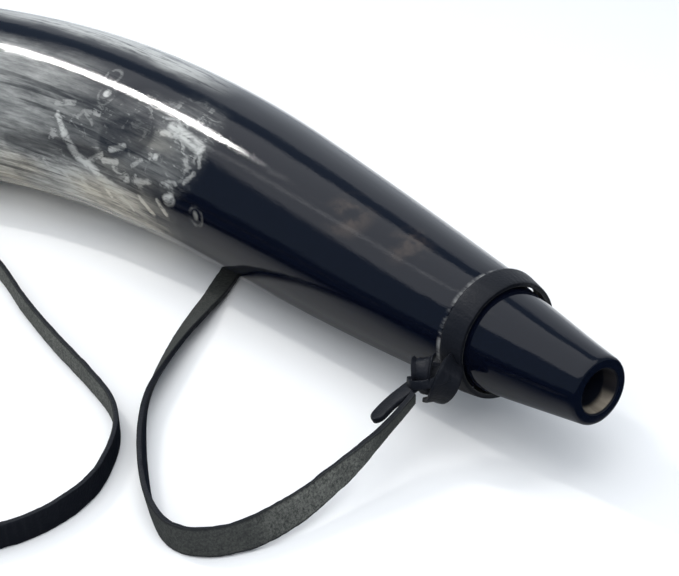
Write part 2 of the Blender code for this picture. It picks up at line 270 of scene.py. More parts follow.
def sweep(shape, frames):
    """Extrudes the ring that shape holds, which is in the first of the frames, through the others.
    Returns the ring of vertices in each frame."""
    rings = [list(shape.verts)]
    edges = list(shape.edges)
    for before, after in zip(frames, frames[1:]):
        made = bmesh.ops.extrude_edge_only(shape, edges=edges)["geom"]
        verts = [item for item in made if isinstance(item, bmesh.types.BMVert)]
        edges = new_edges([item for item in made if isinstance(item, bmesh.types.BMEdge)], verts)
        bmesh.ops.transform(shape, matrix=after @ before.inverted(), verts=verts)
        rings.append(verts)
    return rings


def ring_edges(ring):
    return new_edges({edge for vert in ring for edge in vert.link_edges}, ring)


def finish_mesh(name, shape, material, body=None, sharp=math.radians(40), merge=1e-6):
    """Turns a bmesh into a piece: doubles merged, faces out, smooth but for its sharp edges."""
    bmesh.ops.remove_doubles(shape, verts=shape.verts, dist=merge)
    bmesh.ops.recalc_face_normals(shape, faces=shape.faces)
    mesh = bpy.data.meshes.new(name)
    shape.to_mesh(mesh)
    shape.free()
    mesh.shade_smooth()
    mesh.set_sharp_from_angle(angle=sharp)
    mesh.materials.append(material)
    piece = bpy.data.objects.new(name, mesh)
    bpy.context.scene.collection.objects.link(piece)
    if body:
        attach(piece, body)
    return piece


def strip_frames(rows):
    """Matrices along a strip, from rows of a point and the way its suede side faces:
    Z along it, Y to the suede side and X to an edge."""
    points = rows[:, :3]
    tangents = np.gradient(points, axis=0)
    frames = []
    for point, tangent, face in zip(points, tangents, rows[:, 3:6]):
        way = Vector(tangent).normalized()
        off = Vector(face)
        off = (off - way * off.dot(way)).normalized()
        axes = Matrix((off.cross(way), off, way)).transposed()
        frames.append(Matrix.Translation(Vector(point)) @ axes.to_4x4())
    return frames


def strip(name, rows, places, material, width, thickness, body=None, sides=16,
          widths=None, pleats=(0, 0.0), ragged=0.00012, taper=(0.0, 0.0), seed=0.0):
    """A flat strip of leather along rows of a point and the way its suede side faces.
    widths scales its width at each row, and pleats are lengthwise folds, their count and depth."""
    frames = strip_frames(rows)
    widths = np.ones(len(rows)) if widths is None else np.asarray(widths, float)
    for end, length in ((0, taper[0]), (-1, taper[1])):
        if length:
            back = np.abs(places - places[end])
            widths = widths * np.sqrt(1 - np.clip(1 - back / length, 0, 0.97) ** 2)
    shape = bmesh.new()
    bmesh.ops.create_circle(shape, segments=sides, radius=1.0)
    for vert in shape.verts:
        x, y = vert.co.x, vert.co.y
        vert.co.x = math.copysign(abs(x) ** STRIP_SQUARENESS, x)
        vert.co.y = math.copysign(abs(y) ** STRIP_SQUARENESS, y)
    scaled = [
        place @ Matrix.Diagonal((width / 2 * scale, thickness / 2, 1, 1))
        for place, scale in zip(frames, widths)
    ]
    bmesh.ops.transform(shape, matrix=scaled[0], verts=shape.verts)
    marks = shape.verts.layers.float_vector.new("lace")
    rings = sweep(shape, scaled)
    for ring, matrix, frame_here, along in zip(rings, scaled, frames, places):
        inverse = matrix.inverted()
        turn = frame_here.to_3x3()
        for vert in ring:
            at = inverse @ vert.co
            vert[marks] = (along + seed, max(-1, min(1, at.x)), max(-1, min(1, at.y)))
            edge = max(0.0, abs(at.x) - 0.75) * 4
            if edge:
                side = 1.0 if at.x > 0 else -1.0
                grain = noise.noise(Vector(((along + seed) * 900, side * 7, at.y * 1.5)))
                wave = noise.noise(Vector(((along + seed) * 160, side * 3, 0)))
                push = (grain * ragged + wave * ragged * 1.6) * edge * side
                vert.co += turn @ Vector((push, 0, 0))
            if pleats[0]:
                fold = math.cos(at.x * math.pi * pleats[0]) * pleats[1]
                vert.co += turn @ Vector((0, fold, 0))
            vert.co.z = max(vert.co.z, LOWEST_LACE)
    for ring in (rings[0], rings[-1]):
        bmesh.ops.contextual_create(shape, geom=ring_edges(ring))
    return finish_mesh(name, shape, material, body, math.radians(50))


def lace_rows():
    """The long lace's centreline, evenly spaced, and the way its suede side faces there."""
    rows, places = even_rows(smooth_rows(LACE_ROUTE), LACE_STEP)
    ways = np.gradient(rows[:, :3], axis=0)
    ways /= np.linalg.norm(ways, axis=1)[:, None]
    left = np.cross((0, 0, 1.0), ways)
    left /= np.linalg.norm(left, axis=1)[:, None]
    up = np.cross(ways, left)
    roll = np.radians(rows[:, 3])[:, None]
    return np.concatenate([rows[:, :3], left * np.cos(roll) + up * np.sin(roll)], axis=1), places


def knot_rows(points, middle=(0.0, 0.0, -2.5)):
    """Rows of a strip in the knot, from points in millimetres on the knot's axes, grain side out."""
    rows = smooth_rows(points)
    axes = np.array(KNOT_AXES)
    place = np.array(knot_middle()) + rows[:, :3] / 1000 @ axes.T
    face = (middle - rows[:, :3]) @ axes.T
    return even_rows(np.concatenate([place, face], axis=1), 0.0005)


# ---------------------------------------------------------------- materials


class Link:
    """A shader value. Arithmetic on it adds Math nodes."""

    def __init__(self, shader, socket):
        self.shader, self.socket = shader, socket

    def math(self, operation, *others, clamp=False):
        settings = {"operation": operation, "use_clamp": clamp}
        return self.shader.node("ShaderNodeMath", settings, dict(enumerate((self, *others))))

    def __add__(self, other):
        return self.math("ADD", other)

    def __sub__(self, other):
        return self.math("SUBTRACT", other)

    def __mul__(self, other):
        return self.math("MULTIPLY", other)

    def __truediv__(self, other):
        return self.math("DIVIDE", other)

    def __rsub__(self, other):
        return self.shader.node("ShaderNodeMath", {"operation": "SUBTRACT"}, {0: other, 1: self})

    __radd__ = __add__
    __rmul__ = __mul__

    def step(self, low, high):
        """0 below low, 1 above high, smooth between. With low above high it falls."""
        inputs = {"Value": self, "From Min": low, "From Max": high}
        return self.shader.node("ShaderNodeMapRange", {"interpolation_type": "SMOOTHSTEP"}, inputs)

    def most(self, other):
        return self.math("MAXIMUM", other)


class Shader:
    """The nodes of one material."""

    def __init__(self, name, **constants):
        self.material = bpy.data.materials.new(name)
        self.material.use_nodes = True
        self.tree = self.material.node_tree
        self.surface = self.tree.nodes["Principled BSDF"]
        for name, value in constants.items():
            self.surface.inputs[name.replace("_", " ")].default_value = value

    def node(self, kind, settings=None, sockets=None, out=0):
        """A node of that type, with its settings, then the values or links of its sockets."""
        made = self.tree.nodes.new(kind)
        for name, value in (settings or {}).items():
            if name == "stops":
                ramp = made.color_ramp
                while len(ramp.elements) < len(value):
                    ramp.elements.new(1.0)
                for element, (place, color) in zip(ramp.elements, value):
                    element.position, element.color = place, color
            else:
                setattr(made, name, value)
        for name, value in (sockets or {}).items():
            if isinstance(value, Link):
                self.tree.links.new(value.socket, made.inputs[name])
            else:
                made.inputs[name].default_value = value
        return Link(self, made.outputs[out])

    def set(self, **sockets):
        for name, value in sockets.items():
            self.tree.links.new(value.socket, self.surface.inputs[name.replace("_", " ")])
        return self.material

    def attribute(self, name):
        return self.node("ShaderNodeAttribute", {"attribute_name": name}, out="Vector")

    def split(self, vector):
        made = self.node("ShaderNodeSeparateXYZ", None, {0: vector}).socket.node
        return [Link(self, made.outputs[k]) for k in range(3)]

    def noise(self, vector, scale, stretch=(1, 1, 1), detail=3.0, roughness=0.55, shift=(0, 0, 0),
              warp=0.0):
        at = self.node("ShaderNodeMapping", None, {"Vector": vector, "Scale": stretch, "Location": shift})
        inputs = {"Vector": at, "Scale": scale, "Detail": detail, "Roughness": roughness,
                  "Distortion": warp}
        return self.node("ShaderNodeTexNoise", None, inputs)

    def distance(self, vector, point):
        settings = {"operation": "DISTANCE"}
        return self.node("ShaderNodeVectorMath", settings, {0: vector, 1: point}, out="Value")

    def near_segment(self, vector, start, end, reach, soft, wobble):
        """1 within reach of the line between two places on the skin, fading over soft."""
        a, b = Vector(on_skin(*start)), Vector(on_skin(*end))
        way = b - a
        length = max(way.length, 1e-5)
        sockets = {0: vector, 1: tuple(a)}
        off = self.node("ShaderNodeVectorMath", {"operation": "SUBTRACT"}, sockets)
        sockets = {0: off, 1: tuple(way / length)}
        along = self.node("ShaderNodeVectorMath", {"operation": "DOT_PRODUCT"}, sockets, out="Value")
        along = (along / length).math("ADD", 0.0, clamp=True)
        sockets = {0: tuple(way), "Scale": along}
        foot = self.node("ShaderNodeVectorMath", {"operation": "SCALE"}, sockets)
        away = self.distance(off, foot) + wobble
        return away.step(reach, reach - soft)

    def mix(self, share, a, b):
        inputs = {0: share, 6: a, 7: b}
        return self.node("ShaderNodeMix", {"data_type": "RGBA"}, inputs, out=2)

    def bump(self, height_link, strength, distance):
        inputs = {"Height": height_link, "Strength": strength, "Distance": distance}
        return self.node("ShaderNodeBump", None, inputs)


def on_skin(s, angle):
    """A place on the horn's skin in its straightened coordinates."""
    radius = float(outer_radius(s))
    return (s, radius * math.cos(math.radians(angle)), radius * math.sin(math.radians(angle)))


def horn_material(look):
    """Polished horn: black, with pale marbling towards the bell."""
    shader = Shader("polished_horn", IOR=1.46)
    straight = shader.attribute("straight")
    s, near, up = shader.split(straight)
    angle = up.math("ARCTAN2", near) * math.degrees(1)

    streaks = shader.noise(straight, 60, (0.85, 4.6, 4.6), 6, 0.66)
    fine = shader.noise(straight, 260, (0.22, 3.4, 3.4), 5, 0.7)
    chalk = shader.noise(straight, 190, (0.75, 1.1, 1.1), 5, 0.62, (0.4, 0.2, 0.1), 1.2)
    blots = shader.noise(straight, 95, (0.8, 1.2, 1.2), 3, 0.55, (0.7, 0.1, 0.5))
    clouds = shader.noise(straight, 22, (0.7, 1.4, 1.4), 3, 0.5, (0.9, 0.1, 0.3))
    wobble = (blots - 0.5) * 1.0

    # Smoky haze towards the bell, which stops under a dark navy band near the top. Both it and the
    # crest end before the far side, which has a haze of its own
    radius = (near * near + up * up).math("SQRT")
    before_far = angle.step(-165, -115)
    below_band = (angle + wobble * 14).step(74, 58) * before_far
    haze = (s + wobble * 0.018).step(0.194, 0.246) * below_band
    smoke = (streaks * 0.55 + fine * 0.35 + clouds * 0.35).step(0.44, 0.82)
    pale = haze * (smoke * 0.62 + 0.17)
    low = (angle + wobble * 16).step(10, -6) * (s + wobble * 0.016).step(0.160, 0.196) * before_far
    pale = pale.most(low * ((streaks * 0.6 + fine * 0.5).step(0.40, 0.70) * 0.70 + 0.20))

    # Chalky patch with a dark heart
    patch = shader.near_segment(straight, (0.170, 42), (0.218, 8), 0.021, 0.012, wobble * 0.010)
    patch = patch * (s + wobble * 0.008).step(0.147, 0.158)
    heart = shader.near_segment(straight, (0.186, 38), (0.196, 26), 0.009, 0.003, wobble * 0.004)
    broken = (chalk * 0.7 + fine * 0.4).step(0.54, 0.68)
    pale = pale.most(patch * (smoke * 0.30 + 0.05) * (1 - heart * 0.6))
    pale = pale.most(patch * broken * (1 - heart * 0.7) * 0.62)
    for start, end, half, amount in CHALK:
        line = shader.near_segment(straight, start, end, half * 1.15, half * 0.8, (fine - 0.5) * 0.0032)
        pale = pale.most(line * (chalk * 0.7 + fine * 0.5).step(0.36, 0.66) * amount)
    for place, turn, radius, amount in RINGS:
        away = shader.distance(straight, on_skin(place, turn)) + (fine - 0.5) * 0.0010
        ring = (away - radius).math("ABSOLUTE").step(0.0010, 0.0002)
        pale = pale.most(ring * (chalk * 0.6 + fine * 0.5).step(0.40, 0.68) * amount * 0.65)

    # Pale grain along the crest
    crest = (angle + wobble * 8).step(85, 98) * s.step(0.165, 0.200) * s.step(0.330, 0.250)
    crest = crest * (angle + wobble * 20).step(170, 118)
    far = (near / radius + wobble * 0.3).step(-0.35, -0.85) * (s + wobble * 0.03).step(0.175, 0.285)
    pale = pale.most(far * (smoke * 0.45 + 0.07))
    pale = pale.most(crest * (streaks * 0.7 + fine * 0.5).step(0.40, 0.64) * 0.98)

    # A dark streak through the smoky part
    vein = shader.near_segment(straight, (0.250, 0), (0.206, 12), 0.0050, 0.0040, wobble * 0.004)
    pale = pale * (1 - vein * (streaks * 0.8 + 0.1))

    # Dark cracks along the grain, and faint brown smudges nearer the neck
    cracks = shader.noise(straight, 120, (0.10, 3, 3), 2, 0.5, (0.1, 0.6, 0.2)).step(0.58, 0.66)
    pale = pale * (1 - cracks * 0.60)
    smudge = shader.distance(straight, on_skin(0.093, 64)).step(0.011, 0.003)
    smudge = smudge.most(shader.distance(straight, on_skin(0.069, 70)).step(0.009, 0.003))
    smudge = smudge * blots.step(0.42, 0.62) * 0.35

    warm = (clouds - up * 6.0).step(0.42, 0.64)
    cream = shader.mix(warm, look.marble_cool, look.marble_warm)
    skin = shader.mix(clouds, look.horn_dark, look.horn_deep)
    skin = shader.mix(smudge, skin, look.horn_brown)
    color = shader.mix(pale, skin, cream)
    wear = shader.noise(straight, 420, (0.3, 1, 1), 3, 0.6)
    worn = s.step(MOUTHPIECE_LENGTH, MOUTHPIECE_LENGTH + 0.0002)
    worn = worn * s.step(MOUTHPIECE_LENGTH + 0.0017, MOUTHPIECE_LENGTH + 0.0005)
    worn = worn * wear.step(0.34, 0.66)
    color = shader.mix(worn * (wear * 0.8 + 0.1), color, look.wear)
    rough = pale * 0.10 + fine * 0.02 + worn * 0.25 + 0.035
    normal = shader.bump(streaks * 0.5 + clouds * 1.5 + fine * 0.15, 0.22, 0.0005)
    return shader.set(Base_Color=color, Roughness=rough, Normal=normal)


def raw_horn_material(look):
    """Unpolished inner wall of the horn: pale at the cup, with painted shade down the bore and on the cup's
    upper side.
    """
    shader = Shader("raw_horn", IOR=1.35)
    straight = shader.attribute("straight")
    s, _, up = shader.split(straight)
    grain = shader.noise(straight, 120, (0.3, 3, 3), 5, 0.65)
    wall = shader.mix(grain.step(0.3, 0.7), look.inner_dark, look.inner_pale)
    # Painted shade: the wall dark down the narrow bore, and pale again where it opens into the bell
    deep = s.step(0.0026, 0.0046) * s.step(0.20, 0.12)
    rim = s.step(0.0008, 0.0003)
    # Painted shade: the upper side of the cup darker than its lower side
    painted_shade_top = s.step(0.02, 0.01) * up.step(-0.0052, -0.0022)
    color = shader.mix(deep.most(rim).most(painted_shade_top * 0.93), wall, look.horn_dark)
    return shader.set(Base_Color=color, Roughness=grain * 0.2 + 0.45)


# Chalky strokes: start, end, half width and strength
CHALK = (
    ((0.226, 28), (0.221, 17), 0.0018, 1.0), ((0.221, 17), (0.213, 6), 0.0025, 1.0),
    ((0.213, 6), (0.202, 0), 0.0026, 1.0), ((0.202, 0), (0.190, -4), 0.0017, 0.8),
    ((0.228, 34), (0.220, 38), 0.0016, 0.6), ((0.214, 36), (0.208, 30), 0.0011, 0.5),
    ((0.174, 51), (0.158, 47), 0.0026, 0.95), ((0.176, 44), (0.166, 50), 0.0018, 0.8),
    ((0.157, 44), (0.154, 36), 0.0010, 0.55), ((0.155, 30), (0.158, 22), 0.0012, 0.5),
    ((0.162, 18), (0.168, 14), 0.0015, 0.65), ((0.174, 11), (0.182, 6), 0.0013, 0.6),
    ((0.165, 5), (0.163, 7), 0.0024, 0.9), ((0.186, 6), (0.190, 1), 0.0020, 0.75),
    ((0.192, 13), (0.199, 10), 0.0016, 0.7), ((0.184, 16), (0.180, 22), 0.0011, 0.6),
    ((0.208, 51), (0.2082, 51), 0.0019, 1.0), ((0.174, 28), (0.1742, 28), 0.0017, 1.0),
    ((0.150, 4), (0.1505, 5), 0.0015, 0.35), ((0.232, -6), (0.228, -15), 0.0016, 0.7),
    ((0.222, -10), (0.218, -20), 0.0018, 0.8), ((0.212, -12), (0.207, -20), 0.0015, 0.7),
    ((0.200, -6), (0.197, -15), 0.0017, 0.8), ((0.190, -10), (0.186, -18), 0.0014, 0.7),
    ((0.206, 6), (0.200, 14), 0.0013, 0.7), ((0.196, 20), (0.190, 25), 0.0014, 0.6),
    ((0.180, -4), (0.174, -12), 0.0015, 0.7), ((0.170, 0), (0.166, -7), 0.0013, 0.6),
)
# Rings: distance along, angle, radius and strength
RINGS = (
    (0.208, 51, 0.0036, 0.55), (0.211, 64.5, 0.0030, 0.60), (0.174, 28, 0.0033, 0.55),
    (0.174, 18, 0.0032, 0.55), (0.162, 26, 0.0030, 0.45), (0.150, 4, 0.0032, 0.25),
)


def leather_material(look):
    """Black lace: smooth grain on one side, grey suede with cut fibres on the other."""
    shader = Shader("lace_leather", IOR=1.30)
    place = shader.attribute("lace")
    along, across, side = shader.split(place)
    object_place = shader.node("ShaderNodeTexCoord", out="Object")
    suede = side.step(0.35, 0.75)
    edge = across.math("ABSOLUTE").step(0.80, 0.97)
    fibres = shader.noise(object_place, 1500, (1, 1, 1), 6, 0.75)
    nap = shader.noise(object_place, 420, (1, 1, 1), 5, 0.7, (0.3, 0, 0))
    patches = shader.noise(object_place, 60, (1, 1, 1), 3, 0.5, (0, 0.4, 0))
    pores = shader.node("ShaderNodeTexVoronoi", None, {"Vector": object_place, "Scale": 1300.0})
    creases = shader.noise(place, 130, (6.0, 0.0022, 0.0), 3, 0.6)

    flecks = (fibres * 0.85 + nap * 0.25).step(0.38, 0.72)
    nappy = shader.mix(flecks, look.suede_dark, look.suede_pale)
    nappy = shader.mix(patches.step(0.35, 0.65) * 0.22, nappy, look.suede_dark)
    # Painted shade: the suede darkened beside the knot and low on the first loop
    painted_lace_shade = (along + (patches - 0.5) * 0.02).step(0.040, 0.065) * along.step(0.27, 0.22)
    painted_lace_shade = painted_lace_shade.most(along.step(0.027, 0.012))
    nappy = shader.mix(painted_lace_shade * 0.72, nappy, look.suede_dark)
    smooth = shader.mix(creases.step(0.45, 0.75) * 0.35, look.grain_color, look.grain_worn)
    color = shader.mix(suede, smooth, nappy)
    ragged = edge * suede * 0.85
    color = shader.mix(ragged, color, look.cut_edge)
    rough = suede * 0.30 + 0.50 + fibres * 0.12 - (1 - suede) * 0.10
    relief = suede * (fibres * 1.0 + nap * 1.2)
    relief = relief + (1 - suede) * (pores * 0.35 + creases * 0.6)
    normal = shader.bump(relief, 0.55, 0.0003)
    return shader.set(Base_Color=color, Roughness=rough, Normal=normal)


def floor_material(look):
    """A plain pale floor with a very slight unevenness of tone."""
    shader = Shader("pale_floor", Roughness=0.42, IOR=1.3)
    place = shader.node("ShaderNodeTexCoord", out="Object")
    tone = shader.noise(place, 3.0, (1, 1, 1), 2, 0.5)
    pale = tuple(look.floor_color)
    dim = tuple(0.985 * value for value in pale[:3]) + (1,)
    solid = shader.distance(place, (0.0, -0.05, 0.0))
    solid = solid.step(*(FLOOR_REACH * share for share in FLOOR_FADE))
    return shader.set(Base_Color=shader.mix(tone, pale, dim), Alpha=solid)


def backdrop_material(look):
    """An even pale surround, with a very slight unevenness of tone."""
    pale = tuple(look.floor_color)
    shader = Shader("pale_backdrop", Roughness=1.0, Emission_Strength=1.0, Base_Color=pale)
    place = shader.node("ShaderNodeTexCoord", out="Object")
    tone = shader.noise(place, 0.4, (1, 1, 1), 2, 0.5)
    glow = shader.mix(tone, (1.0, 1.0, 1.0, 1), (0.985, 0.985, 0.985, 1))
    return shader.set(Emission_Color=glow)


def card_material():
    """Grey near the horn and dark further out: a painted reflection of the floor in shade near the horn and
    of dark surroundings further out.
    """
    made = bpy.data.materials.get("gloss_card")
    if made:
        return made
    shader = Shader("gloss_card", Roughness=1.0, IOR=1.0)
    place = shader.node("ShaderNodeTexCoord", out="Object")
    x, y, _ = shader.split(place)
    far = y.step(-0.030, -0.075).most(x.step(0.19, 0.215))
    return shader.set(Base_Color=shader.mix(far, (0.42, 0.42, 0.41, 1), (0.02, 0.03, 0.05, 1)))


# ---------------------------------------------------------------- what a user may change


def color_property(name, description, default):
    return bpy.props.FloatVectorProperty(
        name=name, description=description, subtype="COLOR", size=4, min=0, max=1, default=(*default, 1)
    )


class ShofarLaceSizes(bpy.types.PropertyGroup):
    width: bpy.props.FloatProperty(
        name="Lace width", description="Width of the flat lace", default=0.0074, unit="LENGTH"
    )
    thickness: bpy.props.FloatProperty(
        name="Lace thickness", description="Thickness of the lace", default=0.0017, unit="LENGTH"
    )


class ShofarLooks(bpy.types.PropertyGroup):
    horn_dark: color_property("Horn dark", "Colour of the polished horn", (0.0012, 0.0022, 0.0068))
    horn_deep: color_property("Horn deep", "Lighter clouds of the horn", (0.0022, 0.0032, 0.0080))
    horn_brown: color_property("Horn brown", "Faint smudges near the neck", (0.12, 0.09, 0.07))
    marble_cool: color_property("Marbling grey", "Cool part of the marbling", (0.50, 0.505, 0.48))
    marble_warm: color_property("Marbling cream", "Warm part of the marbling", (0.66, 0.61, 0.50))
    inner_dark: color_property("Inner wall dark", "Dark grain of the hollow", (0.16, 0.13, 0.10))
    inner_pale: color_property("Inner wall pale", "Pale grain of the hollow", (0.30, 0.265, 0.21))
    wear: color_property("Wear", "Rubbed edge of the shoulder", (0.34, 0.34, 0.33))
    suede_pale: color_property("Suede pale", "Raised nap of the suede side", (0.185, 0.188, 0.168))
    # Suede dark also colours the painted shade on the long lace
    suede_dark: color_property("Suede dark", "Hollows of the suede side", (0.026, 0.028, 0.027))
    grain_color: color_property("Grain", "Smooth side of the lace", (0.0065, 0.0075, 0.011))
    grain_worn: color_property("Grain worn", "Creases of the smooth side", (0.020, 0.021, 0.025))
    cut_edge: color_property("Cut edge", "Cut fibres at the edges", (0.012, 0.013, 0.015))
    floor_color: color_property("Floor", "Colour of the floor", (0.93, 0.93, 0.925))
    key_strength: bpy.props.FloatProperty(
        name="Key strength", description="Radiance of the small lamp", default=120.0, min=0
    )
    sky_strength: bpy.props.FloatProperty(
        name="Softbox strength", description="Radiance of the softboxes", default=1.0, min=0
    )


# ---------------------------------------------------------------- operators


def looks():
    return bpy.context.scene.shofar_looks


def lace_sizes():
    return bpy.context.scene.shofar_lace


def leather():
    return bpy.data.materials.get("lace_leather") or leather_material(looks())


def area_light(name, place, target, size, radiance, color=(1, 1, 1), glossy=True):
    """A rectangular lamp of an even radiance, turned to a target."""
    data = bpy.data.lights.new(name, "AREA")
    data.shape = "RECTANGLE"
    data.size, data.size_y = size
    data.energy = radiance * size[0] * size[1] * math.pi
    data.color = color
    lamp = bpy.data.objects.new(name, data)
    lamp.location = place
    way = Vector(target) - Vector(place)
    lamp.rotation_euler = way.to_track_quat("-Z", "Y").to_euler()
    lamp.visible_camera = False
    lamp.visible_glossy = glossy
    bpy.context.scene.collection.objects.link(lamp)
    return lamp


class ShofarStage(bpy.types.Operator):
    """Make the floor, the lights and the camera"""

    bl_idname = "shofar.stage"
    bl_label = "Stage"

    def execute(self, context):
        scene = context.scene
        look = looks()
        shape = bmesh.new()
        bmesh.ops.create_grid(shape, x_segments=8, y_segments=8, size=FLOOR_REACH)
        floor = finish_mesh("floor", shape, floor_material(look))

        shape = bmesh.new()
        bmesh.ops.create_icosphere(shape, subdivisions=3, radius=BACKDROP_RADIUS)
        bmesh.ops.reverse_faces(shape, faces=shape.faces)
        backdrop = finish_mesh("backdrop", shape, backdrop_material(look))
        for ray in ("diffuse", "glossy", "shadow", "transmission"):
            setattr(backdrop, "visible_" + ray, False)

        for name, (left, right, front, back) in GLOSS_CARDS:
            shape = bmesh.new()
            bmesh.ops.create_grid(shape, x_segments=1, y_segments=1, size=0.5)
            middle = Matrix.Translation(((left + right) / 2, (front + back) / 2, CARD_HEIGHT))
            spread = Matrix.Diagonal((right - left, back - front, 1, 1))
            bmesh.ops.transform(shape, matrix=middle @ spread, verts=shape.verts)
            card = finish_mesh(name, shape, card_material())
            for ray in ("camera", "diffuse", "shadow", "transmission"):
                setattr(card, "visible_" + ray, False)

        sky = look.sky_strength
        area_light("softbox_over", (0.36, -0.18, 0.72), (0.36, -0.18, 0), (2.1, 1.0), 0.88 * sky)
        area_light("softbox_far", (-0.5, 1.2, 0.70), (-0.5, 0, 0.70), (2.8, 1.45), 0.50 * sky)
        area_light("edge_strip", (-0.70, -0.30, 0.70), (-0.2, -0.1, 0), (0.022, 0.9), 1.5 * sky)
        key = KEY_WAY * KEY_DISTANCE + KEY_TARGET
        area_light("key", key, KEY_TARGET, (0.028, 0.15), look.key_strength, (1, 0.985, 0.96))
        area_light("fill", (0.45, -1.25, 0.85), (0.02, -0.06, 0), (1.3, 1.1), 2.1, glossy=False)
        area_light("fill_over", (0.05, -0.1, 1.7), (0.05, -0.1, 0), (1.7, 1.7), 1.1, glossy=False)

        world = bpy.data.worlds.new("studio")
        world.use_nodes = True
        background = world.node_tree.nodes["Background"]
        background.inputs["Color"].default_value = WORLD_COLOR
        background.inputs["Strength"].default_value = WORLD_STRENGTH
        scene.world = world
        scene.view_settings.view_transform = "Standard"

        data = bpy.data.cameras.new("camera")
        data.sensor_width, data.lens = 36.0, CAMERA_LENS
        data.clip_start, data.clip_end = 0.01, 50
        camera = bpy.data.objects.new("camera", data)
        camera.matrix_world = camera_matrix()
        scene.collection.objects.link(camera)
        scene.camera = camera
        return {"FINISHED"}


class ShofarNeckBand(bpy.types.Operator):
    """Make the turn of lace round the horn's neck"""

    bl_idname = "shofar.neck_band"
    bl_label = "Neck band"

    def execute(self, context):
        sizes = lace_sizes()
        rows = []
        turns = np.linspace(0, 2 * math.pi, 121)
        for turn in turns:
            angle = turn + KNOT_ANGLE
            open_share = 0.5 - 0.5 * math.cos(turn)
            lean = 0.0010 + 0.0006 * open_share
            place = horn_frame(MOUTHPIECE_LENGTH - BAND_FROM_SHOULDER - lean * 0.3, angle)
            radius = float(outer_radius(MOUTHPIECE_LENGTH - BAND_FROM_SHOULDER)) + BAND_OFF_HORN
            radius += BAND_OPENING * open_share
            point = place @ Vector((radius, 0, 0))
            face = place.to_3x3() @ Vector((-1, 0, lean / 0.0037 * 0.55))
            rows.append((*point, *face))
        rows = np.array(rows)
        band = strip(
            "neck_band", rows, distances(rows), leather(), sizes.width, sizes.thickness, "neck_loop",
            ragged=0.00007, seed=2.0,
        )
        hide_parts("neck_loop")
        return {"FINISHED"}


class ShofarKnot(bpy.types.Operator):
    """Make the half knot on the near side of the neck: its core, strap, pleated end and lobe"""

    bl_idname = "shofar.knot"
    bl_label = "Knot"

    def execute(self, context):
        sizes = lace_sizes()
        thin = sizes.thickness * 0.85
        shape = bmesh.new()
        bmesh.ops.create_icosphere(shape, subdivisions=4, radius=0.5)
        marks = shape.verts.layers.float_vector.new("lace")
        size = Vector((0.0112, 0.0092, 0.0084))
        axes = KNOT_AXES.to_4x4()
        for vert in shape.verts:
            ridge = noise.noise(vert.co * 7.0) * 0.09
            vert[marks] = (vert.co.x * 0.01, vert.co.y * 0.5, -1.0)
            vert.co *= 1 + ridge
        place = Matrix.Translation(knot_middle() + KNOT_AXES @ Vector((0.0002, -0.0002, -0.0014)))
        bmesh.ops.transform(
            shape, matrix=place @ axes @ Matrix.Diagonal((*size, 1)), verts=shape.verts
        )
        core = finish_mesh("knot_core", shape, leather(), "neck_loop")
        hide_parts("neck_knot")

        strap, places = knot_rows((
            (6.2, 5.6, -2.4), (5.6, 4.4, 1.2), (4.3, 2.4, 3.9), (3.0, -0.6, 4.6),
            (1.9, -3.4, 3.6), (0.6, -5.4, 0.8), (-0.6, -5.6, -2.6),
        ))
        waist = 1 - 0.20 * np.cos(np.linspace(0, 2 * math.pi, len(places)))
        strip(
            "knot_strap", strap, places, leather(), sizes.width * 0.86, thin, "neck_loop",
            widths=waist, pleats=(1, 0.0003), ragged=0.00006, seed=3.0,
        )

        fan, places = knot_rows((
            (-2.2, 5.9, 0.2), (-3.0, 5.2, 2.4), (-3.4, 3.0, 3.9), (-3.5, 0.9, 4.1),
            (-3.2, -0.6, 3.0), (-2.4, -1.6, 0.6),
        ))
        spread = np.linspace(1.12, 0.82, len(places))
        strip(
            "knot_fan", fan, places, leather(), sizes.width * 0.78, thin * 0.8, "neck_loop",
            sides=44, widths=spread, pleats=(3, 0.00055), ragged=0.00010, seed=4.0,
        )

        roll, places = knot_rows((
            (-6.6, -0.4, -0.8), (-5.8, -1.2, 2.2), (-3.0, -1.2, 4.4), (0.4, -0.2, 5.3),
            (3.8, 1.0, 4.2), (6.0, 1.4, 0.8),
        ))
        strip(
            "knot_roll", roll, places, leather(), sizes.width * 0.34, thin * 0.95, "neck_loop",
            ragged=0.00005, seed=5.0,
        )
        return {"FINISHED"}


class ShofarTail(bpy.types.Operator):
    """Make the short cut end of the lace that leaves the knot"""

    bl_idname = "shofar.tail"
    bl_label = "Lace tail"

    def execute(self, context):
        sizes = lace_sizes()
        axes = np.array(KNOT_AXES)
        rows = smooth_rows(TAIL_ROUTE)
        place = rows[:, :3]
        face = np.tile(axes @ np.array((0.60, -0.60, -0.52)), (len(rows), 1))
        rows, places = even_rows(np.concatenate([place, face], axis=1), 0.0006)
        tail = strip(
            "lace_end", rows, places, leather(), sizes.width * 0.70, sizes.thickness, "neck_loop",
            taper=(0.0, 0.0028), ragged=0.00009, seed=6.0,
        )
        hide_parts("lace_tail")
        return {"FINISHED"}


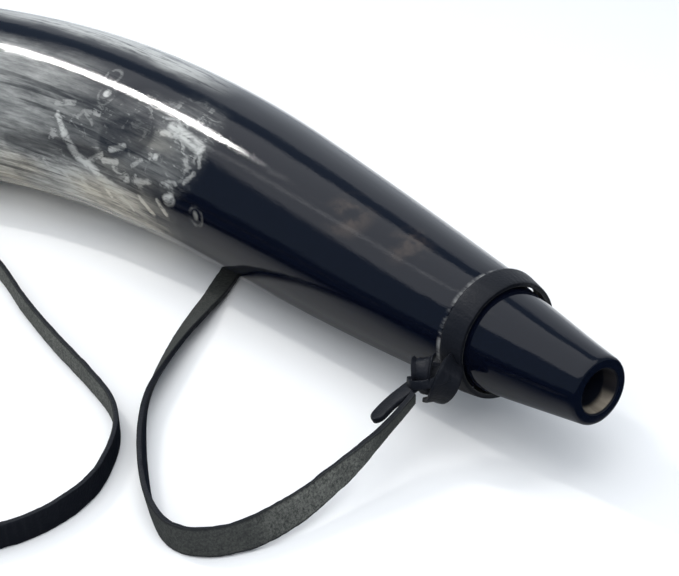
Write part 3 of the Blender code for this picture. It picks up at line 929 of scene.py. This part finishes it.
class ShofarRimLace(bpy.types.Operator):
    """Make the lace through the rim hole and the stopper knot inside the bell"""

    bl_idname = "shofar.rim_lace"
    bl_label = "Rim lace"

    def execute(self, context):
        sizes = lace_sizes()
        frame_here = horn_frame(HORN_LENGTH - RIM_HOLE_FROM_RIM, RIM_HOLE_ANGLE)
        wall = float(body_radius(HORN_LENGTH - RIM_HOLE_FROM_RIM))
        out = frame_here @ Matrix.Rotation(math.radians(90), 4, "Y")
        rows = []
        for reach in np.linspace(wall - BELL_WALL - RIM_LACE_ENDS[0], wall + RIM_LACE_ENDS[1], 12):
            rows.append((*(out @ Vector((0, 0, reach))), *(out.to_3x3() @ Vector((1, 0, 0)))))
        rows = np.array(rows)
        places = distances(rows)
        through = strip(
            "rim_pass_lace", rows, places, leather(), RIM_LACE_WIDTH, RIM_LACE_THICKNESS, "rim_lace",
            pleats=(1, 0.0006), ragged=0.00003, seed=7.0,
        )
        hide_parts("rim_pass")

        middle = out @ Vector((0, 0, wall - BELL_WALL - RIM_PASS_INSIDE - GAP - RIM_KNOT_RADIUS))
        shape = bmesh.new()
        bmesh.ops.create_icosphere(shape, subdivisions=4, radius=0.0043)
        marks = shape.verts.layers.float_vector.new("lace")
        for vert in shape.verts:
            vert[marks] = (vert.co.x, vert.co.y * 100, -1.0)
        bmesh.ops.transform(shape, matrix=Matrix.Translation(middle), verts=shape.verts)
        core = finish_mesh("rim_knot_core", shape, leather(), "rim_lace")
        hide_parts("rim_knot")
        turn = out.to_3x3()
        for index, tilt in enumerate((0.0, 62.0)):
            lean = Matrix.Rotation(math.radians(tilt), 3, "X")
            rows = []
            for angle in np.linspace(0, 2 * math.pi, 61):
                way = turn @ lean @ Vector((math.cos(angle), math.sin(angle), 0.16 * math.sin(angle)))
                rows.append((*(middle + way * 0.0047), *(-way)))
            rows = np.array(rows)
            strip(
                f"rim_knot_turn_{index + 1}", rows, distances(rows), leather(), sizes.width * 0.62, 0.0014,
                "rim_lace", ragged=0.00005, seed=8.0 + index,
            )
        return {"FINISHED"}


class ShofarLongLace(bpy.types.Operator):
    """Make the long lace from the knot, under the horn twice, to the hole near the rim"""

    bl_idname = "shofar.long_lace"
    bl_label = "Long lace"

    def execute(self, context):
        sizes = lace_sizes()
        rows, places = lace_rows()
        widths = np.ones(len(places))
        for share, place, reach in LACE_WIDENINGS:
            widths += share * np.exp(-(((places - place) / reach) ** 2))
        widths += 0.03 * np.sin(places * 110) * np.sin(places * 37)
        lace = strip(
            "long_lace", rows, places, leather(), sizes.width, sizes.thickness, widths=widths,
            ragged=LACE_RAGGED,
        )
        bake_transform(lace)
        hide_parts("lace_front", "lace_under_front", "lace_back", "lace_under_rear", "lace_side")
        return {"FINISHED"}


class ShofarHorn(bpy.types.Operator):
    """Make the horn: mouthpiece, shoulder, body, rim, hollow, bore and rim hole in one skin"""

    bl_idname = "shofar.horn"
    bl_label = "Horn"

    def execute(self, context):
        rings = horn_rings()
        frames = [
            horn_frame(s) @ Matrix.Diagonal((radius, radius, 1, 1)) for s, radius, _ in rings
        ]
        shape = bmesh.new()
        bmesh.ops.create_circle(shape, segments=HORN_SIDES, radius=1.0, matrix=frames[0])
        straight = shape.verts.layers.float_vector.new("straight")
        outside = shape.verts.layers.float_vector.new("outside")
        made = sweep(shape, frames)
        for ring, matrix, (s, radius, outer) in zip(made, frames, rings):
            inverse = matrix.inverted()
            for vert in ring:
                at = inverse @ vert.co
                here = Vector((s, at.x * radius, at.y * radius))
                vert[straight] = here
                vert[outside] = (outer, 0, 0)
                if outer == 1.0:
                    off = (vert.co - matrix.translation).normalized()
                    vert.co += off * horn_unevenness(here)
        bmesh.ops.bridge_loops(shape, edges=ring_edges(made[0]) + ring_edges(made[-1]))
        for face in shape.faces:
            if all(vert[outside].x < 0.9 for vert in face.verts):
                face.material_index = 1
        horn = finish_mesh("horn_skin", shape, horn_material(looks()), sharp=math.radians(30))
        horn.data.materials.append(raw_horn_material(looks()))
        drill_rim_hole(horn)
        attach(horn, "horn")
        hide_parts("horn_body")
        return {"FINISHED"}


def horn_unevenness(here):
    """How far the polished skin stands off a true round, from hand scraping along the grain."""
    s = here.x
    wide = noise.noise(Vector((s * 14, here.y * 45, here.z * 45)))
    long = noise.noise(Vector((s * 7, here.y * 150, here.z * 150)) + Vector((5, 5, 5)))
    fade = min(1.0, max(0.0, (s - MOUTHPIECE_LENGTH - 0.001) / 0.02))
    body = (wide * 0.00024 + long * 0.00011) * fade
    cone = 0.0
    if s < MOUTHPIECE_LENGTH - 0.001:
        facet = noise.noise(Vector((s * 60, here.y * 130, here.z * 130)) + Vector((9, 0, 3)))
        cone = facet * 0.00009 * min(1.0, s / 0.006)
    return body + cone


def horn_rings():
    """The horn's section as rings: distance along, radius, and 1 outside or 0 inside."""
    rounding = MOUTH_ROUNDING
    rings = []
    for turn in np.radians((0, 22, 45, 68, 90)):
        s = rounding * (1 - math.sin(turn))
        rings.append((s, float(outer_radius(s)) - rounding * (1 - math.cos(turn)), 1.0))
    rings = rings[::-1]
    rings += [(s, float(outer_radius(s)), 1.0) for s in np.arange(0.0022, MOUTHPIECE_LENGTH - 0.001, 0.0016)]
    step, chamfer = MOUTHPIECE_LENGTH, SHOULDER_CHAMFER
    rings += [(step - 0.0004, float(outer_radius(step - 0.0004)), 1.0), (step, CONE_RADIUS, 1.0)]
    rings += [(step + 0.00002, CONE_RADIUS + 0.0003, 1.0)]
    for turn in np.radians((0, 30, 60, 90)):
        s = step + 0.00004 + chamfer * (1 - math.cos(turn))
        rings.append((s, SHOULDER_RADIUS - chamfer * (1 - math.sin(turn)), 1.0))
    start = step + chamfer + 0.0012
    rings += [(s, float(body_radius(s)), 1.0) for s in np.arange(start, HORN_LENGTH - 0.002, 0.0021)]
    edge = 0.0009
    for turn in np.radians((0, 30, 60, 90)):
        s = HORN_LENGTH - edge * (1 - math.sin(turn))
        rings.append((s, BELL_RADIUS - edge * (1 - math.cos(turn)), 1.0))
    inner = BELL_RADIUS - BELL_WALL
    for turn in np.radians((90, 60, 30, 0)):
        s = HORN_LENGTH - edge * (1 - math.sin(turn))
        rings.append((s, inner + edge * (1 - math.cos(turn)), 0.5))
    for s in np.arange(HORN_LENGTH - 0.004, SOLID_LENGTH, -0.004):
        share = math.sin(min((s - SOLID_LENGTH) / HOLLOW_OPENING, 1) * math.pi / 2) ** HOLLOW_ROUNDING
        widest = float(body_radius(s)) - BELL_WALL
        rings.append((s, BORE_RADIUS + (widest - BORE_RADIUS) * share, 0.0))
    rings += [(s, BORE_RADIUS, 0.0) for s in np.linspace(SOLID_LENGTH, CUP_DEPTH + 0.001, 20)]
    for share in np.linspace(0, 1, 9)[1:]:
        s = CUP_DEPTH * (1 - share)
        radius = BORE_RADIUS + (CUP_RADIUS - BORE_RADIUS) * math.sin(share * math.pi / 2) ** 0.9
        rings.append((max(s, 0.0008), radius, 0.0 if share < 0.9 else 0.6))
    rings.append((0.0003, CUP_RADIUS + 0.00015, 0.5))
    rings.append((0.0, CUP_RADIUS + 0.0005, 0.5))
    return rings


def drill_rim_hole(horn):
    """Cuts the round hole for the lace through the wall near the rim."""
    frame_here = horn_frame(HORN_LENGTH - RIM_HOLE_FROM_RIM, RIM_HOLE_ANGLE)
    out = frame_here @ Matrix.Rotation(math.radians(90), 4, "Y")
    shape = bmesh.new()
    bmesh.ops.create_cone(
        shape, cap_ends=True, segments=40, depth=0.02, radius1=RIM_HOLE_RADIUS, radius2=RIM_HOLE_RADIUS,
        matrix=out @ Matrix.Translation((0, 0, BELL_RADIUS)),
    )
    mesh = bpy.data.meshes.new("drill")
    shape.to_mesh(mesh)
    shape.free()
    drill = bpy.data.objects.new("drill", mesh)
    bpy.context.scene.collection.objects.link(drill)
    modifier = horn.modifiers.new("hole", "BOOLEAN")
    modifier.operation, modifier.solver, modifier.object = "DIFFERENCE", "EXACT", drill
    bpy.context.view_layer.update()
    graph = bpy.context.evaluated_depsgraph_get()
    cut = bpy.data.meshes.new_from_object(horn.evaluated_get(graph))
    horn.modifiers.clear()
    old = horn.data
    horn.data = cut
    bpy.data.meshes.remove(old)
    bpy.data.objects.remove(drill)


class ShofarPanel(bpy.types.Panel):
    """Sizes, colours and build steps of the shofar"""

    bl_label = "Shofar"
    bl_idname = "SHOFAR_PT_build"
    bl_space_type = "VIEW_3D"
    bl_region_type = "UI"
    bl_category = "Shofar"

    def draw(self, context):
        column = self.layout.column()
        for group in (context.scene.shofar_lace, context.scene.shofar_looks):
            for name in group.__annotations__:
                column.prop(group, name)
        for step in STEPS:
            column.operator(step.bl_idname)


STEPS = (
    ShofarStage, ShofarNeckBand, ShofarKnot, ShofarTail, ShofarRimLace, ShofarLongLace, ShofarHorn,
)
CLASSES = (ShofarLaceSizes, ShofarLooks, *STEPS, ShofarPanel)


def register():
    for each in CLASSES:
        bpy.utils.register_class(each)
    bpy.types.Scene.shofar_lace = bpy.props.PointerProperty(type=ShofarLaceSizes)
    bpy.types.Scene.shofar_looks = bpy.props.PointerProperty(type=ShofarLooks)


def unregister():
    del bpy.types.Scene.shofar_looks
    del bpy.types.Scene.shofar_lace
    for each in reversed(CLASSES):
        bpy.utils.unregister_class(each)


def main():
    register()
    for step in STEPS:
        group, name = step.bl_idname.split(".")
        getattr(getattr(bpy.ops, group), name)()


if __name__ == "__main__":
    main()
